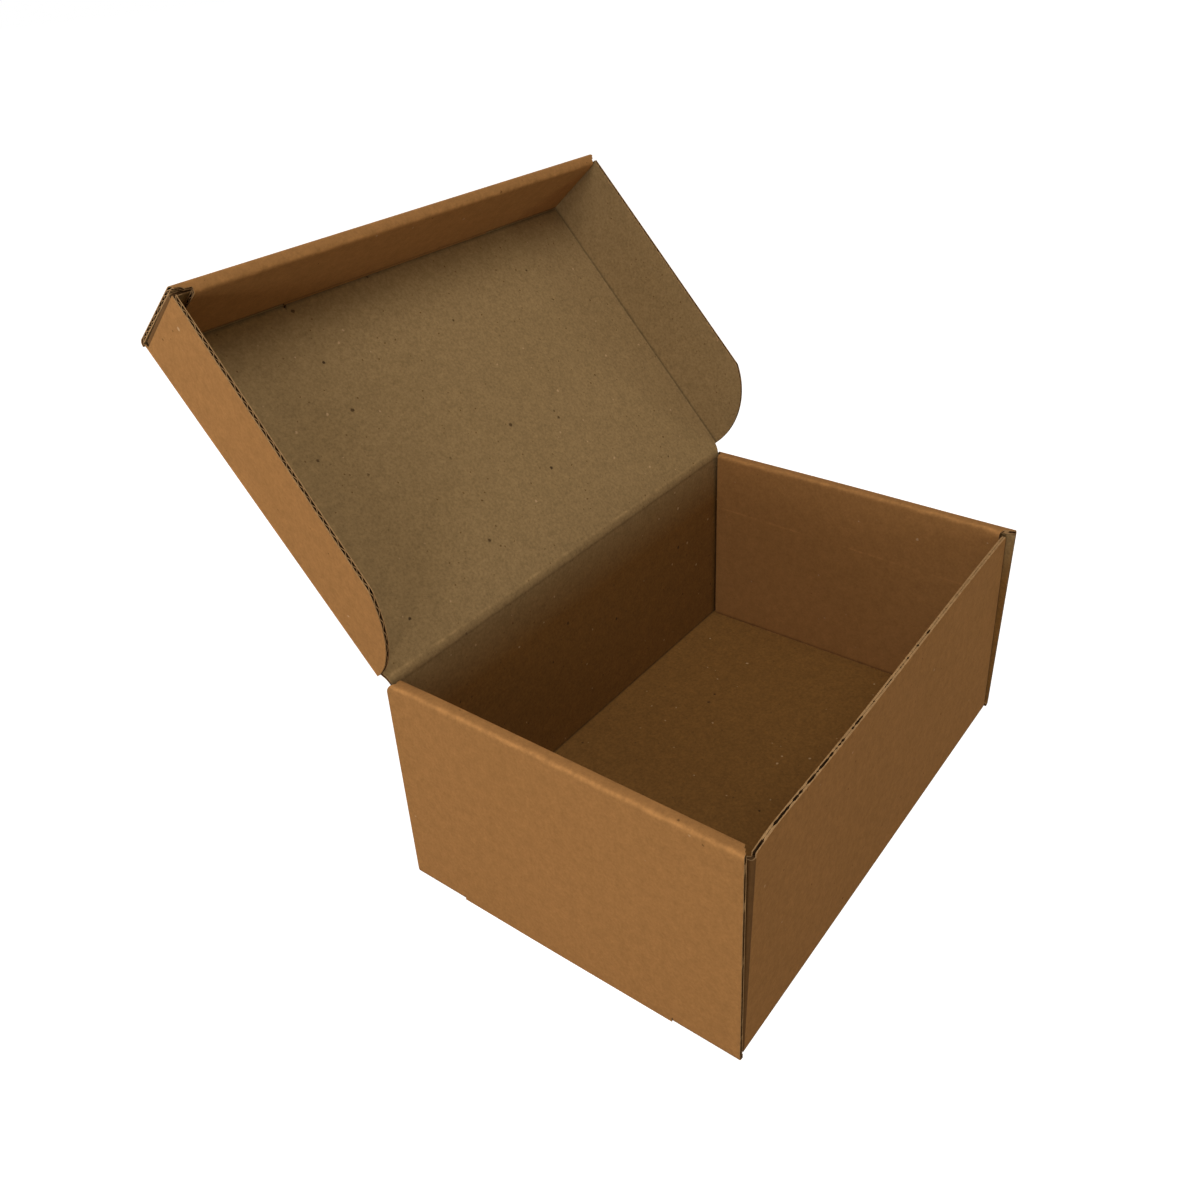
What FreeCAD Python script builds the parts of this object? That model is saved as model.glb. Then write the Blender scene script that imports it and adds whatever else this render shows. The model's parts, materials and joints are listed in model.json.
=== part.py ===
"""Open one-piece corrugated box with a hinged, rolled-front lid, folded from a single sheet.

Axes: X runs along the hinge, Y to the hinge side, Z up; the origin is the centre of the underside.
The tray and the lid are two bodies because the sheet turns at the lid's crease.
All sizes are in millimetres and degrees.
"""
import FreeCAD, Part
import math
import os

V = FreeCAD.Vector

# Board: one thickness everywhere, with flutes that run along X in the flat sheet
BOARD = 1.5
LINER = 0.24
FLUTE_PITCH = 3.4
FLUTE_HOLE_WIDTH = 2.2
FLUTE_POINT_SHARE = 0.55
FLUTE_DEPTH = 1.3
SLIT_WIDTH = 0.6
SLIT_DEPTH = 1.1
FOLD_INSIDE_R = 0.4
LAYER_GAP = 0.15

# Tray, outside sizes and its walls
TRAY_W = 200.0
TRAY_D = 131.0
TRAY_H = 83.0
WALL_SETBACK = 0.4
FRONT_DROP = 2.6
FLOOR_LAP = 30.0
CORNER_RELIEF = 2.0
TUCK_LENGTH = 45.0
TUCK_DROP = 0.6
INNER_FRONT_GAP = 0.8
INNER_BACK_GAP = 1.5
SHOULDER_GAP = 0.12
BAND_FRONT_CUT = 0.3
BACK_CORNER_LENGTH = 3.4
BACK_CORNER_DROP = 3.2

# Locking tabs of the side walls, and their slots in the floor
SLOT_TAB_LENGTH = 84.0
SLOT_TAB_RISE = 3.0
SLOT_END_GAP = 0.4
SLOT_SIDE_GAP = 0.1

# Hinge: the crease strip is a soft bend that stays on the tray
OPEN_DEG = 132.2
HINGE_SETBACK = 2.8
LID_RISE = 0.12
LID_AXIS_DEPTH = 0.4
STRIP_R = 7.0
STRIP_HALF_WIDTH = 97.9
STRIP_ROOT = 6.0
LID_START = 4.9
LID_NECK_CUT = 3.6
LID_NECK_LENGTH = 1.6

# Lid: clearances over the tray, its side flaps and the dust tabs inside its front
LID_SIDE_GAP = 0.3
LID_FRONT_GAP = 0.35
FLAP_DEPTH = 31.0
FLAP_ROOT = 0.5
FLAP_FOLD_LEG = 0.95
FLAP_FOLD_RUN = 8.0
FLAP_FOLD_REST = 0.6
LEAN_FRONT_DEG = {-1: 2.3, 1: 1.0}
LEAN_BACK_DEG = {-1: 9.0, 1: 3.0}
FLAP_SLOPE_LENGTH = 1.8
FLAP_END_R = 15.0
FLAP_FLUTE_START = 2.0
FLAP_FLUTE_RUNS = 4
TAB_LENGTH = 32.0
TAB_LEG = 6.0
TAB_TOP_GAP = 2.4
TAB_BOTTOM_GAP = 2.6

# Lid's rolled front, and the locking tab that holds its inner wall in the panel's slot
LID_DEPTH = 31.4
PANEL_LAP = 20.0
ROLL_INSET = {-1: 6.0, 1: 2.3}
ROLL_OUTER_INSET = 0.5
ROLL_SHOULDER_GAP = 0.9
LOCK_TAB_LENGTH = 104.0
LOCK_TAB_SHIFT = 3.3
LOCK_SLOT_GAP = 0.3
LOCK_SLOT_END_GAP = 0.9

# How far a cut runs past what it trims, and a hair of overlap between faces that are joined
PAST = 1.0
HAIR = 0.1

# Worked out from the sizes above
HALF = BOARD / 2
FOLD_R = FOLD_INSIDE_R + HALF
FOLD_OUT = FOLD_R + HALF
ROLL = 3 * BOARD + 2 * LAYER_GAP
HALF_W = TRAY_W / 2
HALF_D = TRAY_D / 2
WALL_Y = HALF_D - WALL_SETBACK
WALL_MID_Y = WALL_Y - HALF
WALL_IN_Y = WALL_Y - BOARD
TUCK_X = HALF_W - BOARD - LAYER_GAP - HALF
INNER_X = HALF_W - ROLL + HALF
SLOT_IN_X = HALF_W - ROLL - SLOT_SIDE_GAP
SIDE_IN_X = HALF_W - BOARD
FRONT_TOP = TRAY_H - FRONT_DROP
AXIS_Y = WALL_Y - HINGE_SETBACK
LID_Z = TRAY_H + LID_RISE
AXIS_Z = LID_Z - LID_AXIS_DEPTH
LID_BACK_Y = AXIS_Y - LID_START
LID_IN = HALF_W + LID_SIDE_GAP
LID_OUT = LID_IN + BOARD
LID_FRONT_IN = -HALF_D - LID_FRONT_GAP
LID_FRONT_OUT = LID_FRONT_IN - ROLL
LID_LOW = LID_Z - LID_DEPTH
LID_BAND_TOP = LID_LOW + BOARD + FOLD_INSIDE_R


def on_xz(p, at):
    return V(p[0], at, p[1])


def on_yz(p, at):
    return V(at, p[0], p[1])


def on_xy(p, at):
    return V(p[0], p[1], at)


def unit(a, b):
    dx, dy = b[0] - a[0], b[1] - a[1]
    length = math.hypot(dx, dy)
    return dx / length, dy / length


def beside(p, direction, offset):
    """The point at an offset to the left of p, looking along a direction."""
    return p[0] - direction[1] * offset, p[1] + direction[0] * offset


def folded(path, plane, start, run):
    """A board of one thickness along a middle line, with a round fold at every corner."""
    sides = {1: [], -1: []}
    last = path[0]
    for before, corner, after in zip(path, path[1:], path[2:]):
        d_in, d_out = unit(before, corner), unit(corner, after)
        turn = 1 if d_in[0] * d_out[1] - d_in[1] * d_out[0] > 0 else -1
        angle = math.acos(d_in[0] * d_out[0] + d_in[1] * d_out[1])
        back = FOLD_R * math.tan(angle / 2)
        p_in = (corner[0] - d_in[0] * back, corner[1] - d_in[1] * back)
        p_out = (corner[0] + d_out[0] * back, corner[1] + d_out[1] * back)
        centre = beside(p_in, d_in, turn * FOLD_R)
        bisector = unit(centre, corner)
        for side, pieces in sides.items():
            r = FOLD_R - turn * side * HALF
            mid = (centre[0] + bisector[0] * r, centre[1] + bisector[1] * r)
            fold_start = beside(p_in, d_in, side * HALF)
            pieces.append((beside(last, d_in, side * HALF), fold_start))
            pieces.append((fold_start, mid, beside(p_out, d_out, side * HALF)))
        last = p_out
    d = unit(last, path[-1])
    for side, pieces in sides.items():
        pieces.append((beside(last, d, side * HALF), beside(path[-1], d, side * HALF)))
    edges = []
    for piece in sides[1] + sides[-1]:
        points = [plane(p, start) for p in piece]
        edges.append(Part.makeLine(*points) if len(points) == 2 else Part.Arc(*points).toShape())
    edges.append(Part.makeLine(plane(sides[1][0][0], start), plane(sides[-1][0][0], start)))
    edges.append(Part.makeLine(plane(sides[1][-1][-1], start), plane(sides[-1][-1][-1], start)))
    outline = Part.Wire(Part.__sortEdges__(edges))
    return Part.Face(outline).extrude(plane((0, 0), run))


def prism(points, plane, start, run):
    corners = [plane(p, start) for p in points]
    return Part.Face(Part.makePolygon(corners + corners[:1])).extrude(plane((0, 0), run))


def block(x0, x1, y0, y1, z0, z1):
    return Part.makeBox(x1 - x0, y1 - y0, z1 - z0, V(x0, y0, z0))


def side_block(side, x0, x1, y0, y1, z0, z1):
    """A block given for the right side, put on the left where side is -1."""
    low, high = sorted((side * x0, side * x1))
    return block(low, high, y0, y1, z0, z1)


def flutes(start, along, across, inward, length):
    """Open flute ends on a cut edge: pointed holes that hang from one liner and then the other."""
    count = int(length / FLUTE_PITCH)
    first = (length - (count - 0.5) * FLUTE_PITCH) / 2
    wide = HALF - LINER
    holes = []
    for i in range(2 * count):
        side = 1 if i % 2 == 0 else -1
        mid = start + along * (first + i * FLUTE_PITCH / 2) - inward * HAIR
        base = mid + across * (side * wide)
        point = mid - across * (side * wide * FLUTE_POINT_SHARE)
        reach = along * (FLUTE_HOLE_WIDTH / 2)
        outline = Part.makePolygon([base - reach, base + reach, point, base - reach])
        holes.append(Part.Face(outline).extrude(inward * (FLUTE_DEPTH + HAIR)))
    return holes


def back_corner_cut():
    """Takes the top back corner off an outer side panel: an arc that starts level with the band."""
    radius = (BACK_CORNER_LENGTH ** 2 + BACK_CORNER_DROP ** 2) / (2 * BACK_CORNER_DROP)
    y0 = HALF_D - BACK_CORNER_LENGTH
    sweep = math.asin(BACK_CORNER_LENGTH / radius)
    x = SIDE_IN_X - HAIR

    def at(angle):
        return V(x, y0 + radius * math.sin(angle), TRAY_H - radius * (1 - math.cos(angle)))

    start, end = at(0), at(sweep)
    high = TRAY_H + PAST
    arc = Part.Arc(start, at(sweep / 2), end).toShape()
    rim = Part.makePolygon([end, V(x, HALF_D, high), V(x, y0, high), start])
    return Part.Face(Part.Wire([arc] + rim.Edges)).extrude(V(BOARD + PAST, 0, 0))


def tray_side():
    """Right side: floor fold, outer panel, flat top band, inner panel and its locking tab."""
    top = TRAY_H - HALF
    shoulder = BOARD + SHOULDER_GAP
    path = [(HALF_W - FLOOR_LAP, HALF), (HALF_W - HALF, HALF), (HALF_W - HALF, top),
            (INNER_X, top), (INNER_X, shoulder)]
    roll = folded(path, on_xz, -HALF_D, TRAY_D)
    inner_front = -WALL_IN_Y + INNER_FRONT_GAP
    inner_back = WALL_IN_Y - INNER_BACK_GAP
    out = HALF_W + PAST
    deep = HALF_W - ROLL - PAST
    under = TRAY_H - BOARD - FOLD_INSIDE_R
    flat = HALF_W - FOLD_OUT
    lap = HALF_W - FLOOR_LAP - PAST
    tab = SLOT_TAB_LENGTH / 2
    slot = tab + SLOT_END_GAP
    slit_x = HALF_W - HALF - SLIT_WIDTH / 2
    slit_low = SLOT_TAB_RISE
    cuts = [
        block(deep, SIDE_IN_X, -out, inner_front, shoulder, under),
        block(deep, SIDE_IN_X, inner_back, out, shoulder, under),
        prism([(out, -HALF_D + BAND_FRONT_CUT), (deep, inner_front), (deep, -out), (out, -out)],
              on_xy, under, TRAY_H),
        prism([(out, HALF_D - BACK_CORNER_LENGTH), (deep, inner_back), (deep, out), (out, out)],
              on_xy, under, TRAY_H),
        block(lap, flat, WALL_Y - FOLD_OUT, out, -PAST, BOARD + HAIR),
        block(lap, flat, -out, -WALL_Y + FOLD_OUT, -PAST, BOARD + HAIR),
        block(SLOT_IN_X, SIDE_IN_X, -slot, slot, -PAST, BOARD + FOLD_INSIDE_R),
        block(slit_x, slit_x + SLIT_WIDTH, -out, -HALF_D + SLIT_DEPTH, slit_low, under - PAST),
        block(slit_x, slit_x + SLIT_WIDTH, HALF_D - SLIT_DEPTH, out, slit_low,
              TRAY_H - BACK_CORNER_DROP - FOLD_OUT),
        back_corner_cut(),
    ]
    side = roll.cut(Part.makeCompound(cuts))
    foot = block(SIDE_IN_X, HALF_W, -tab, tab, 0, SLOT_TAB_RISE)
    lock = block(HALF_W - ROLL, HALF_W - ROLL + BOARD, -tab, tab, 0, SLOT_TAB_RISE)
    return side.multiFuse([foot, lock])


def tray_end(sign, top, tuck_top):
    """Front (-1) or back (+1) wall with its floor fold and the two tuck flaps in the side walls."""
    y = sign * WALL_MID_Y
    half = TUCK_X - FOLD_R
    wall = folded([(sign * (HALF_D - FLOOR_LAP), HALF), (y, HALF), (y, top)], on_yz, -half, 2 * half)
    end = sign * (WALL_MID_Y - TUCK_LENGTH)
    cup = folded([(-TUCK_X, end), (-TUCK_X, y), (TUCK_X, y), (TUCK_X, end)],
                 on_xy, CORNER_RELIEF, tuck_top - CORNER_RELIEF)
    return wall.fuse(cup)


def front_slit():
    """The torn medium between the liners along the front wall's raw top edge."""
    half = TUCK_X - FOLD_OUT
    return block(-half, half, -WALL_MID_Y - SLIT_WIDTH / 2, -WALL_MID_Y + SLIT_WIDTH / 2,
                 FRONT_TOP - SLIT_DEPTH, FRONT_TOP + PAST)


def hinge_strip():
    """The crease strip: the back wall leans back over a soft bend and ends short of the lid.

    The strip's inner face is tangent to the back wall and to the open lid's inner face.
    """
    opening = math.radians(OPEN_DEG)
    along = (-math.cos(opening), math.sin(opening))
    inward = (-math.sin(opening), -math.cos(opening))
    on_lid = (AXIS_Y - inward[0] * LID_AXIS_DEPTH, AXIS_Z - inward[1] * LID_AXIS_DEPTH)
    corner_z = on_lid[1] + along[1] * (WALL_IN_Y - on_lid[0]) / along[0]
    sweep = opening - math.pi / 2
    low = corner_z - STRIP_R * math.tan(sweep / 2)
    centre_y = WALL_IN_Y + STRIP_R

    def at(radius, angle):
        return V(-STRIP_HALF_WIDTH, centre_y - radius * math.cos(angle),
                 low + radius * math.sin(angle))

    near, far = STRIP_R, STRIP_R - BOARD
    inner = Part.Arc(at(near, 0), at(near, sweep / 2), at(near, sweep)).toShape()
    outer = Part.Arc(at(far, sweep), at(far, sweep / 2), at(far, 0)).toShape()
    tip = Part.makeLine(at(near, sweep), at(far, sweep))
    root = Part.makeLine(at(far, 0), at(near, 0))
    bend = Part.Face(Part.Wire([inner, tip, outer, root])).extrude(V(2 * STRIP_HALF_WIDTH, 0, 0))
    riser = block(-STRIP_HALF_WIDTH, STRIP_HALF_WIDTH, WALL_IN_Y, WALL_Y, low - STRIP_ROOT, low)
    return bend.fuse(riser), low


def make_tray():
    right = tray_side()
    left = right.mirror(V(0, 0, 0), V(1, 0, 0))
    flat_y = WALL_Y - FOLD_OUT
    floor = block(-SLOT_IN_X, SLOT_IN_X, -flat_y, flat_y, 0, BOARD)
    strip, strip_low = hinge_strip()
    front = tray_end(-1, FRONT_TOP, FRONT_TOP - TUCK_DROP).cut(front_slit())
    back = tray_end(1, strip_low - PAST, strip_low - PAST - TUCK_DROP)
    slot = SLOT_TAB_LENGTH / 2 + SLOT_END_GAP
    slots = [side_block(side, SLOT_IN_X, SIDE_IN_X, -slot, slot, -PAST, BOARD) for side in (1, -1)]
    body = floor.multiFuse([front, back, strip]).cut(Part.makeCompound(slots))
    return body.multiFuse([left, right]).removeSplitter()


def lean_at(side, y):
    """How far a side flap leans out at a place along it, in radians."""
    front = LID_FRONT_OUT + 2 * BOARD + LAYER_GAP
    share = (y - front) / (LID_BACK_Y - front)
    return math.radians(LEAN_FRONT_DEG[side] + (LEAN_BACK_DEG[side] - LEAN_FRONT_DEG[side]) * share)


def flap_frame(side, y):
    """At a place along a side flap: its root, the way down it and the way out through it."""
    lean = lean_at(side, y)
    down = V(side * math.sin(lean), 0, -math.cos(lean))
    out = V(side * math.cos(lean), 0, math.sin(lean))
    return V(side * LID_IN, y, LID_Z - FLAP_ROOT), down, out


def flap_end_cut(side):
    """Trims a side flap at the hinge: a slope that runs into a quarter circle."""
    slope_y = LID_BACK_Y - FLAP_SLOPE_LENGTH
    centre = (slope_y - FLAP_END_R, LID_Z - FLAP_DEPTH + FLAP_END_R)
    diagonal = FLAP_END_R * math.sqrt(0.5)
    x = side * (LID_IN - PAST)
    past_y, high, low = LID_BACK_Y + PAST, LID_Z + PAST, LID_Z - FLAP_DEPTH - FLAP_ROOT - PAST
    slope_end = on_yz((slope_y, centre[1]), x)
    arc_end = on_yz((centre[0], centre[1] - FLAP_END_R), x)
    arc = Part.Arc(slope_end, on_yz((centre[0] + diagonal, centre[1] - diagonal), x), arc_end).toShape()
    rim = Part.makePolygon([arc_end, on_yz((centre[0], low), x), on_yz((past_y, low), x),
                            on_yz((past_y, high), x), on_yz((LID_BACK_Y, high), x),
                            on_yz((LID_BACK_Y, LID_Z), x), slope_end])
    reach = BOARD + 2 * PAST + FLAP_DEPTH * math.sin(lean_at(side, LID_BACK_Y))
    return Part.Face(Part.Wire([arc] + rim.Edges)).extrude(V(side * reach, 0, 0))


def side_flap(side):
    """One lid side flap, built closed: it leans out more towards the hinge and has a round end."""
    length = FLAP_DEPTH - FLAP_ROOT
    sections = []
    for y in (LID_FRONT_OUT + 2 * BOARD + LAYER_GAP, LID_BACK_Y):
        root, down, out = flap_frame(side, y)
        tip = root + down * length
        sections.append(Part.makePolygon([root, tip, tip + out * BOARD, root + out * BOARD, root]))
    sheet = Part.makeLoft(sections, True, True).cut(flap_end_cut(side))
    fold_path = [(side * (LID_IN - FLAP_FOLD_RUN), LID_Z + HALF), (side * (LID_IN + HALF), LID_Z + HALF),
                 (side * (LID_IN + HALF), LID_Z + HALF - FOLD_R - FLAP_FOLD_LEG)]
    fold_start = LID_BACK_Y - FLAP_FOLD_REST
    fold = folded(fold_path, on_xz, fold_start, LID_FRONT_OUT + BOARD + LAYER_GAP - fold_start)
    tab_y = LID_FRONT_OUT + BOARD + LAYER_GAP + HALF
    x = side * (LID_IN + HALF)
    tab = folded([(x, tab_y + TAB_LEG), (x, tab_y), (x - side * TAB_LENGTH, tab_y)], on_xy,
                 LID_Z - FLAP_DEPTH + TAB_BOTTOM_GAP, FLAP_DEPTH - TAB_BOTTOM_GAP - TAB_TOP_GAP)
    return [sheet, fold, tab]


def flap_flutes(side):
    """Flute ends along the free edge of a side flap, in a few straight runs that follow its lean."""
    start = LID_FRONT_IN + FLAP_FLUTE_START
    step = (LID_BACK_Y - FLAP_SLOPE_LENGTH - FLAP_END_R - start) / FLAP_FLUTE_RUNS

    def edge(y):
        root, down, out = flap_frame(side, y)
        return root + down * (FLAP_DEPTH - FLAP_ROOT) + out * HALF

    holes = []
    for i in range(FLAP_FLUTE_RUNS):
        near = start + i * step
        root, down, out = flap_frame(side, near + step / 2)
        along = (edge(near + step) - edge(near)).normalize()
        holes += flutes(edge(near), along, out, down * -1, step)
    return holes


def rolled_front():
    """The lid's front, rolled over itself: outer wall, band and inner wall, with tapered ends."""
    outer_mid = LID_FRONT_OUT + HALF
    inner_mid = LID_FRONT_IN - HALF
    low = LID_LOW + HALF
    path = [(LID_BACK_Y - PANEL_LAP, LID_Z + HALF), (outer_mid, LID_Z + HALF), (outer_mid, low),
            (inner_mid, low), (inner_mid, LID_Z - ROLL_SHOULDER_GAP)]
    roll = folded(path, on_yz, -LID_OUT, 2 * LID_OUT)
    reach = LID_OUT + PAST
    near_y, far_y = LID_FRONT_OUT - HAIR, LID_FRONT_IN + HAIR
    band_depth = LID_BAND_TOP - LID_LOW + PAST
    run = LID_DEPTH - 2 * (BOARD + FOLD_INSIDE_R)
    cuts = []
    for side in (-1, 1):
        end = LID_OUT - ROLL_INSET[side]
        cuts.append(side_block(side, end, reach, LID_FRONT_OUT + BOARD, far_y, LID_BAND_TOP, LID_Z))
        cuts.append(prism([(side * (LID_OUT - ROLL_OUTER_INSET), near_y), (side * end, far_y),
                           (side * reach, far_y), (side * reach, near_y)],
                          on_xy, LID_LOW - PAST, band_depth))
        cuts.append(side_block(side, LID_OUT - FOLD_OUT, reach, LID_FRONT_OUT + BOARD, HALF_D,
                               LID_Z - HAIR, LID_Z + BOARD + PAST))
        for x, y in ((side * LID_OUT, outer_mid), (side * end, inner_mid)):
            cuts += flutes(V(x, y, LID_BAND_TOP), V(0, 0, 1), V(0, 1, 0), V(-side, 0, 0), run)
    return roll.cut(Part.makeCompound(cuts))


def neck_cuts():
    """Concave necks where the panel narrows to the crease at both ends."""
    reach = LID_OUT + PAST
    return [prism([(side * (LID_OUT - LID_NECK_CUT), LID_BACK_Y + HAIR), (side * reach, LID_BACK_Y + HAIR),
                   (side * reach, LID_BACK_Y - LID_NECK_LENGTH)], on_xy, LID_Z - FLAP_ROOT - HAIR,
                  BOARD + PAST) for side in (-1, 1)]


def make_lid():
    """Built closed over the tray, then turned about the hinge to where it stands open."""
    panel_x = LID_OUT - FOLD_OUT
    panel = block(-panel_x, panel_x, LID_FRONT_OUT + FOLD_OUT, LID_BACK_Y, LID_Z, LID_Z + BOARD)
    flaps = [piece for side in (-1, 1) for piece in side_flap(side)]
    lock_low = LOCK_TAB_SHIFT - LOCK_TAB_LENGTH / 2
    lock_high = LOCK_TAB_SHIFT + LOCK_TAB_LENGTH / 2
    slot = block(lock_low - LOCK_SLOT_END_GAP, lock_high + LOCK_SLOT_END_GAP,
                 LID_FRONT_IN - BOARD - LOCK_SLOT_GAP, LID_FRONT_IN + LOCK_SLOT_GAP,
                 LID_Z - HAIR, LID_Z + BOARD + PAST)
    lock = block(lock_low, lock_high, LID_FRONT_IN - BOARD, LID_FRONT_IN,
                 LID_Z - 2 * ROLL_SHOULDER_GAP, LID_Z + BOARD)
    sheet = rolled_front().multiFuse([panel] + flaps)
    sheet = sheet.cut(Part.makeCompound([slot] + neck_cuts())).fuse(lock)
    sheet = sheet.cut(Part.makeCompound(flap_flutes(-1) + flap_flutes(1))).removeSplitter()
    sheet.rotate(V(0, AXIS_Y, AXIS_Z), V(1, 0, 0), -OPEN_DEG)
    return sheet


os.makedirs("parts", exist_ok=True)
for name, shape in (("tray", make_tray()), ("lid", make_lid())):
    print(name, "solids", len(shape.Solids), "valid", shape.isValid(), "volume", round(shape.Volume, 1))
    shape.exportStep("parts/%s.step" % name)
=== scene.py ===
"""Looks of the open one-piece corrugated box: folded boards, fluted cut edges and kraft paper."""
import json
import math

import bmesh
import bpy
from mathutils import Matrix, Vector, noise


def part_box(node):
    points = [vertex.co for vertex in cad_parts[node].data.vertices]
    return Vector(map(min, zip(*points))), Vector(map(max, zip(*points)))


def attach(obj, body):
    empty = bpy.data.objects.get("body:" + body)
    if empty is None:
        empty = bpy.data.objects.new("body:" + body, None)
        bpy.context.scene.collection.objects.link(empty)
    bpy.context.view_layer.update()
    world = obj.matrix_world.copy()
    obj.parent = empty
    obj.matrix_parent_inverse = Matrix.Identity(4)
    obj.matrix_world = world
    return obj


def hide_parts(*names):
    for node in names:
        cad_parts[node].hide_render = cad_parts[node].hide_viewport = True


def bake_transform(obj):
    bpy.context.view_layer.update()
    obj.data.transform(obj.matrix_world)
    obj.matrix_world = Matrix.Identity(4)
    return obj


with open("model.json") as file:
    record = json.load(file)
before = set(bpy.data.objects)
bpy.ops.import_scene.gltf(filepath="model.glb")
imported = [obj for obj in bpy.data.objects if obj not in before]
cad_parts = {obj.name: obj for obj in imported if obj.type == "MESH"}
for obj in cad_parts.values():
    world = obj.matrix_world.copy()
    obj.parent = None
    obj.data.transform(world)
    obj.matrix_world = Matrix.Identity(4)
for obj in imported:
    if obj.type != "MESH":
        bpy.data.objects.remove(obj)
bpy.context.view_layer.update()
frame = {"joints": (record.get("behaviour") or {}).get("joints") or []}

MM = 0.001

# Board, in millimetres: two liners and a wavy medium, with flutes along X in the flat sheet
BOARD = 1.5
LINER = 0.3
MEDIUM = 0.24
FLUTE_PITCH = 3.4
FLUTE_RECESS = 5.0
PLAIN_RECESS = 0.05
FOLD_INSIDE_R = 0.4
FOLD_SHARPNESS = 0.45
# How far past a fold its line of painted shade reaches on the inner liner
PAINTED_SHADE_MARGIN = 0.8
LAYER_GAP = 0.15
HALF = BOARD / 2
CORE = HALF - LINER
FOLD_R = FOLD_INSIDE_R + HALF
FOLD_OUT = FOLD_R + HALF
ROLL = 3 * BOARD + 2 * LAYER_GAP

# Mesh rows and columns, as distances or counts, and the angle from which an edge stays sharp
STEP = 0.01
ROW_STEP = 3.0
WALL_ROW_STEP = 8.0
ROLL_ROW_STEP = 1.4
LID_ROLL_ROW_STEP = 1.5
FOOT_ROW_STEP = 1.0
STRIP_ROW_STEP = 0.35
CORNER_ROW_STEP = 0.16
CORNER_ROWS = 16
SCUFF_ROW_STEP = 0.4
FOLD_ROWS = 7
STRIP_BEND_ROWS = 20
ARC_ROWS = 26
COLUMN_STEP = 2.0
TOP_EDGE_COLUMN_STEP = 0.62
SIDE_COLUMN_STEP = 3.2
TUCK_COLUMN_STEP = 4.0
PANEL_COLUMNS = 98
TAB_COLUMNS = 12
WAVE_STEPS = 14
SHARP_EDGE_DEG = 32

# Medium seen at a cut edge: its phase drifts, its waves are crushed and its end is ragged
WAVE_DRIFT = 0.5
WAVE_CRUSH = 0.28
WAVE_SINK = 0.06
WAVE_RAGGED = 0.28

# Slit at a cut edge along the flutes: noise above a level opens it wide and deep
TORN_LEVEL = -0.42
TORN_LEVEL_RISE = 0.75
TORN_SOFTNESS = 0.3
TORN_CELLS = 0.65
TORN_SHREDS = 0.35
SLIT_LEAST = 0.05
SLIT_MARGIN = 0.07
SLIT_NARROWING = 0.3
SLIT_RECESS = 0.12
SLIT_DEPTH = 2.0

# Paper worn light above 0, and painted shade below 0: dark inside folds, beside cut edges and where tucked
# flaps go out of sight
FOLD_WORN = 0.6
FOLD_PAINTED_SHADE = -2.0
FLAP_FOLD_WORN = 0.8
FLAP_FOLD_PAINTED_SHADE = -1.8
TUCKED_SHADE_REACH = 3.0
EDGE_SHADE = -1.5
PANEL_EDGE_SHADE = -1.6
SCUFF_WORN = 0.8
SCUFF_WIDTH = 0.4
SCUFF_TILT = 0.02

# Tray, from the frame and its wall details
tray_low, tray_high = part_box("tray")
HALF_W = tray_high.x / MM
HALF_D = -tray_low.y / MM
TRAY_H = 83.0
WALL_SETBACK = 0.4
FRONT_DROP = 2.6
CORNER_RELIEF = 2.0
TUCK_LENGTH = 45.0
TUCK_DROP = 1.4
SCUFF_Z = 56.5
INNER_FRONT_GAP = 0.8
INNER_BACK_GAP = 1.5
SHOULDER_GAP = 0.12
BAND_FRONT_CUT = 0.3
BAND_INNER_CUT = 1.7
BACK_CORNER_LENGTH = 3.4
BACK_CORNER_DROP = 3.2
SLOT_TAB_LENGTH = 84.0
SLOT_END_GAP = 0.4
SLOT_SIDE_GAP = 0.1
WALL_Y = HALF_D - WALL_SETBACK
WALL_MID_Y = WALL_Y - HALF
WALL_IN_Y = WALL_Y - BOARD
TUCK_X = HALF_W - BOARD - LAYER_GAP - HALF
OUTER_X = HALF_W - HALF
INNER_X = HALF_W - ROLL + HALF
SLOT_IN_X = HALF_W - ROLL - SLOT_SIDE_GAP
SIDE_IN_X = HALF_W - BOARD
FRONT_TOP = TRAY_H - FRONT_DROP

# Top edge of the front wall: how ragged it is, and where its slit is closed, along X
TOP_RAGGED = 0.16
TOP_RAGGED_REACH = 1.2
TOP_SHUT_LEAST = 0.15
TOP_SHUT_MIDDLE = (-95, -40, 0.3)
TOP_SHUT_RIGHT = (-20, 70, 0.7)

# Bends of the rolled sides: how far they move, and the Y from which they start
LEFT_FOOT_IN = 0.35
LEFT_FRONT_LEAN = 0.55
LEFT_BACK_LEAN = 0.3
LEFT_FRONT_PULL = 0.5
LEFT_BACK_PULL = 1.1
RIGHT_FRONT_LEAN = 0.9
LEAN_FRONT_Y, LEAN_BACK_Y = 20, 40
PULL_FRONT_Y, PULL_BACK_Y = -45, 60
SIDE_PUSH_Y = -40

# Bends of the front wall: how far it moves, and where each bend starts and is full
FRONT_PUSH = 2.2
NEAR_FOLD_SHIFT = 2.2
FRONT_RIGHT_DRAW = 0.8
FRONT_LEFT_OUT = 0.3
NEAR_CORNER_DROP = 1.3
FRONT_BEND_Y = (-50, -60)
NEAR_FOLD_Y = (-61, -63.5)
FRONT_PUSH_X = (-60, 97)
FRONT_LEFT_X, FRONT_RIGHT_X, NEAR_CORNER_X = -76, 60, -84

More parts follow.
